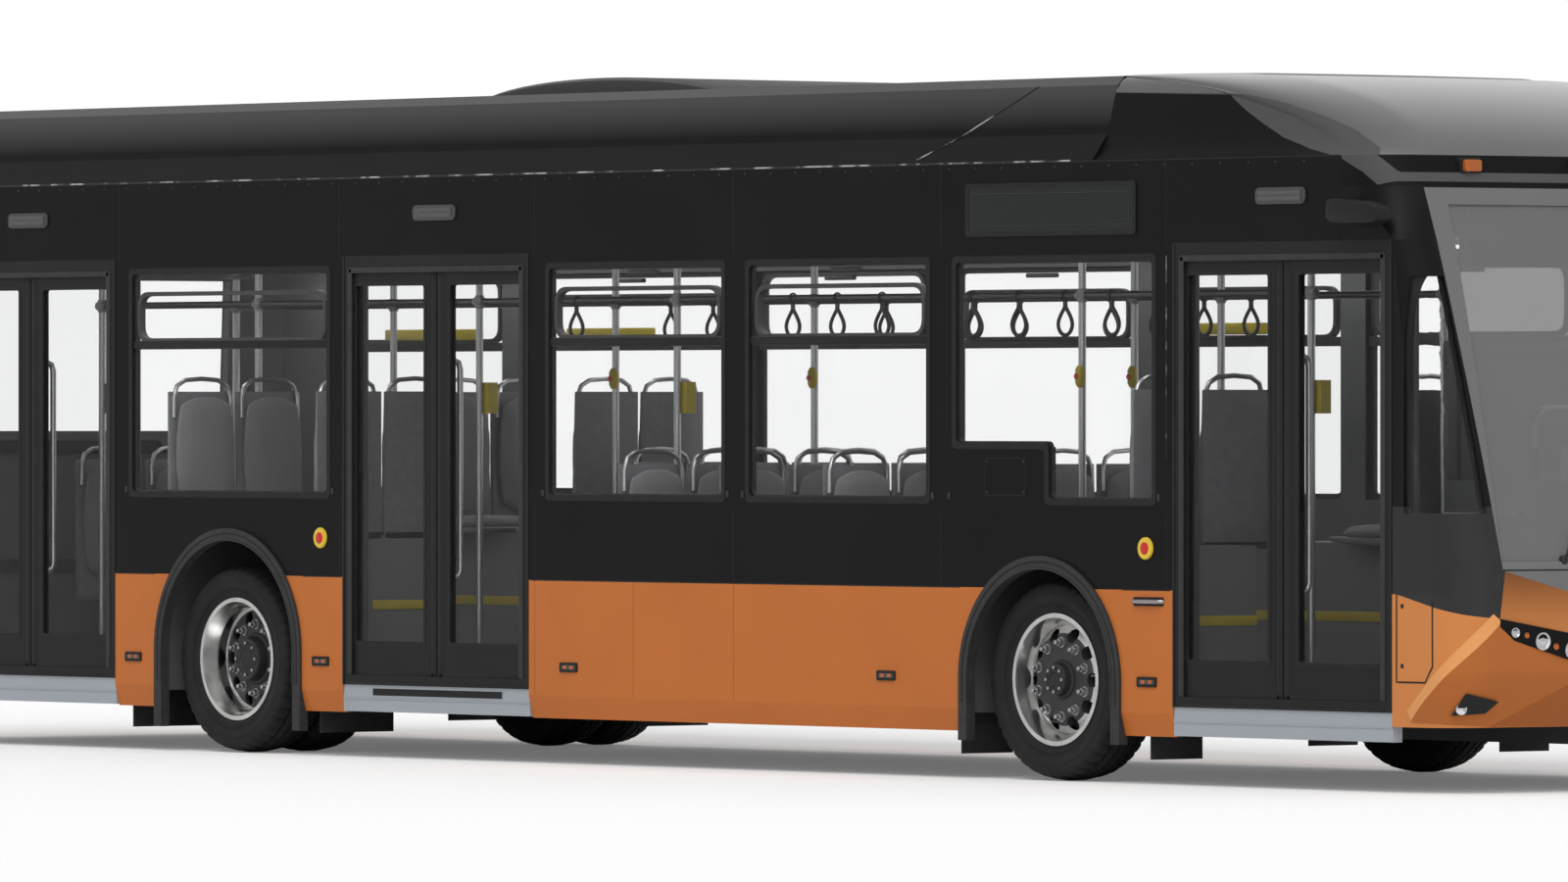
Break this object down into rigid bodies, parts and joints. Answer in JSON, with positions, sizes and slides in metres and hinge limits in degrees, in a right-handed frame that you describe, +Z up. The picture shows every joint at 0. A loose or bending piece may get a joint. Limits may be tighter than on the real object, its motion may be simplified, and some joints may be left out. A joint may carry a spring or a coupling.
{
  "type": "city bus",
  "caption": "Low-floor city bus with double doors along one side, roof-mounted batteries, hollow cabin with seats, steered front wheels and twin rear wheels.",
  "frame": {"origin": "on the ground under the middle of the bus's bounding box", "axes": "+X forward along the bus, +Y to the driver's side away from the doors, +Z up"},
  "size_m": [12.22, 2.794, 3.24],
  "materials": {
    "black_paint": "gloss",
    "copper_paint": "gloss",
    "silver_paint": "satin",
    "roof_grey": "satin",
    "frame_steel": "matt",
    "axle_iron": "matt",
    "rubber": "matt",
    "tyre": "matt",
    "alloy": "polished",
    "floor": "matt",
    "tinted_glass": "clear",
    "screen_glass": "clear",
    "door_frame": "gloss",
    "seat": "satin",
    "rail": "satin",
    "strap": "matt",
    "yellow": "satin",
    "cab": "matt",
    "lamp": "clear",
    "display": "gloss",
    "trim": "satin",
    "unit": "satin"
  },
  "bodies": {
    "body": {"arch_trims": "rubber", "axle_beams": "axle_iron", "camera_pods": "trim", "chassis_frame": "frame_steel", "destination_displays": "display", "door_portals": "rubber", "door_sills": "silver_paint", "driver_cab": "cab", "floor_deck": "floor", "front_dome": "roof_grey", "front_frame": "black_paint", "front_panel": "copper_paint", "grab_rails": "rail", "hand_straps": "strap", "lamps": "lamp", "mud_flaps": "rubber", "rear_panel": "copper_paint", "rear_wall": "black_paint", "roof_fairings": "black_paint", "roof_shell": "black_paint", "roof_units": "unit", "seats": "seat", "side_walls": "black_paint", "skirts": "copper_paint", "wheel_boxes": "floor", "window_glass": "tinted_glass", "windscreen": "screen_glass", "wipers": "trim", "yellow_fittings": "yellow"},
    "door_arm_front_rear": {"door_arm_front_rear": "frame_steel"},
    "door_leaf_front_rear": {"door_leaf_front_rear": "door_frame"},
    "door_arm_front_front": {"door_arm_front_front": "frame_steel"},
    "door_leaf_front_front": {"door_leaf_front_front": "door_frame"},
    "door_arm_middle_rear": {"door_arm_middle_rear": "frame_steel"},
    "door_leaf_middle_rear": {"door_leaf_middle_rear": "door_frame"},
    "door_arm_middle_front": {"door_arm_middle_front": "frame_steel"},
    "door_leaf_middle_front": {"door_leaf_middle_front": "door_frame"},
    "door_arm_rear_rear": {"door_arm_rear_rear": "frame_steel"},
    "door_leaf_rear_rear": {"door_leaf_rear_rear": "door_frame"},
    "door_arm_rear_front": {"door_arm_rear_front": "frame_steel"},
    "door_leaf_rear_front": {"door_leaf_rear_front": "door_frame"},
    "knuckle_right": {"knuckle_right": "axle_iron"},
    "wheel_front_right": {"tyre_front_right": "tyre", "rim_front_right": "alloy"},
    "wheels_rear_right": {"tyres_rear_right": "tyre", "rims_rear_right": "alloy"},
    "knuckle_left": {"knuckle_left": "axle_iron"},
    "wheel_front_left": {"tyre_front_left": "tyre", "rim_front_left": "alloy"},
    "wheels_rear_left": {"tyres_rear_left": "tyre", "rims_rear_left": "alloy"},
    "steering_wheel": {"steering_wheel": "strap"},
    "rear_hatch": {"rear_hatch": "black_paint"}
  },
  "joints": [
    {"name": "door_arm_front_rear_swing", "type": "hinge", "parent": "body", "child": "door_arm_front_rear", "pos_m": [4.1055, -1.142, 1.4], "axis": [0, 0, 1], "range_deg": [0, 78]},
    {"name": "door_leaf_front_rear_turn", "type": "hinge", "parent": "door_arm_front_rear", "child": "door_leaf_front_rear", "pos_m": [4.46775, -1.142, 1.4], "axis": [0, 0, 1], "range_deg": [-156, 0]},
    {"name": "door_arm_front_front_swing", "type": "hinge", "parent": "body", "child": "door_arm_front_front", "pos_m": [5.5625, -1.142, 1.4], "axis": [0, 0, 1], "range_deg": [-78, 0]},
    {"name": "door_leaf_front_front_turn", "type": "hinge", "parent": "door_arm_front_front", "child": "door_leaf_front_front", "pos_m": [5.20025, -1.142, 1.4], "axis": [0, 0, 1], "range_deg": [0, 156]},
    {"name": "door_arm_middle_rear_swing", "type": "hinge", "parent": "body", "child": "door_arm_middle_rear", "pos_m": [-2.0015, -1.142, 1.4], "axis": [0, 0, 1], "range_deg": [0, 78]},
    {"name": "door_leaf_middle_rear_turn", "type": "hinge", "parent": "door_arm_middle_rear", "child": "door_leaf_middle_rear", "pos_m": [-1.63925, -1.142, 1.4], "axis": [0, 0, 1], "range_deg": [-156, 0]},
    {"name": "door_arm_middle_front_swing", "type": "hinge", "parent": "body", "child": "door_arm_middle_front", "pos_m": [-0.5445, -1.142, 1.4], "axis": [0, 0, 1], "range_deg": [-78, 0]},
    {"name": "door_leaf_middle_front_turn", "type": "hinge", "parent": "door_arm_middle_front", "child": "door_leaf_middle_front", "pos_m": [-0.90675, -1.142, 1.4], "axis": [0, 0, 1], "range_deg": [0, 156]},
    {"name": "door_arm_rear_rear_swing", "type": "hinge", "parent": "body", "child": "door_arm_rear_rear", "pos_m": [-5.3155, -1.142, 1.4], "axis": [0, 0, 1], "range_deg": [0, 78]},
    {"name": "door_leaf_rear_rear_turn", "type": "hinge", "parent": "door_arm_rear_rear", "child": "door_leaf_rear_rear", "pos_m": [-4.95325, -1.142, 1.4], "axis": [0, 0, 1], "range_deg": [-156, 0]},
    {"name": "door_arm_rear_front_swing", "type": "hinge", "parent": "body", "child": "door_arm_rear_front", "pos_m": [-3.8585, -1.142, 1.4], "axis": [0, 0, 1], "range_deg": [-78, 0]},
    {"name": "door_leaf_rear_front_turn", "type": "hinge", "parent": "door_arm_rear_front", "child": "door_leaf_rear_front", "pos_m": [-4.22075, -1.142, 1.4], "axis": [0, 0, 1], "range_deg": [0, 156]},
    {"name": "steer_right", "type": "hinge", "parent": "body", "child": "knuckle_right", "pos_m": [3.17, -0.86, 0.455], "axis": [0, 0, 1], "range_deg": [-45, 45]},
    {"name": "wheel_front_right_spin", "type": "hinge", "parent": "knuckle_right", "child": "wheel_front_right", "pos_m": [3.17, -1.055, 0.455], "axis": [0, 1, 0], "continuous": true},
    {"name": "wheels_rear_right_spin", "type": "hinge", "parent": "body", "child": "wheels_rear_right", "pos_m": [-2.99, -0.91, 0.455], "axis": [0, 1, 0], "continuous": true},
    {"name": "steer_left", "type": "hinge", "parent": "body", "child": "knuckle_left", "pos_m": [3.17, 0.86, 0.455], "axis": [0, 0, 1], "range_deg": [-45, 45]},
    {"name": "wheel_front_left_spin", "type": "hinge", "parent": "knuckle_left", "child": "wheel_front_left", "pos_m": [3.17, 1.055, 0.455], "axis": [0, 1, 0], "continuous": true},
    {"name": "wheels_rear_left_spin", "type": "hinge", "parent": "body", "child": "wheels_rear_left", "pos_m": [-2.99, 0.91, 0.455], "axis": [0, 1, 0], "continuous": true},
    {"name": "steering_wheel_turn", "type": "hinge", "parent": "body", "child": "steering_wheel", "pos_m": [5.11, 0.76, 1.23], "axis": [-0.4226, 0, 0.9063], "range_deg": [-810, 810]},
    {"name": "rear_hatch_lift", "type": "hinge", "parent": "body", "child": "rear_hatch", "pos_m": [-6.08107, 0, 1.474], "axis": [0, 1, 0], "range_deg": [0, 80]}
  ],
  "couplings": [
    {"joint": "door_leaf_front_rear_turn", "follows": "door_arm_front_rear_swing", "ratio": -2},
    {"joint": "door_arm_front_front_swing", "follows": "door_arm_front_rear_swing", "ratio": -1},
    {"joint": "door_leaf_front_front_turn", "follows": "door_arm_front_rear_swing", "ratio": 2},
    {"joint": "door_leaf_middle_rear_turn", "follows": "door_arm_middle_rear_swing", "ratio": -2},
    {"joint": "door_arm_middle_front_swing", "follows": "door_arm_middle_rear_swing", "ratio": -1},
    {"joint": "door_leaf_middle_front_turn", "follows": "door_arm_middle_rear_swing", "ratio": 2},
    {"joint": "door_leaf_rear_rear_turn", "follows": "door_arm_rear_rear_swing", "ratio": -2},
    {"joint": "door_arm_rear_front_swing", "follows": "door_arm_rear_rear_swing", "ratio": -1},
    {"joint": "door_leaf_rear_front_turn", "follows": "door_arm_rear_rear_swing", "ratio": 2},
    {"joint": "steer_left", "follows": "steer_right", "ratio": 1},
    {"joint": "steering_wheel_turn", "follows": "steer_right", "ratio": 18}
  ]
}
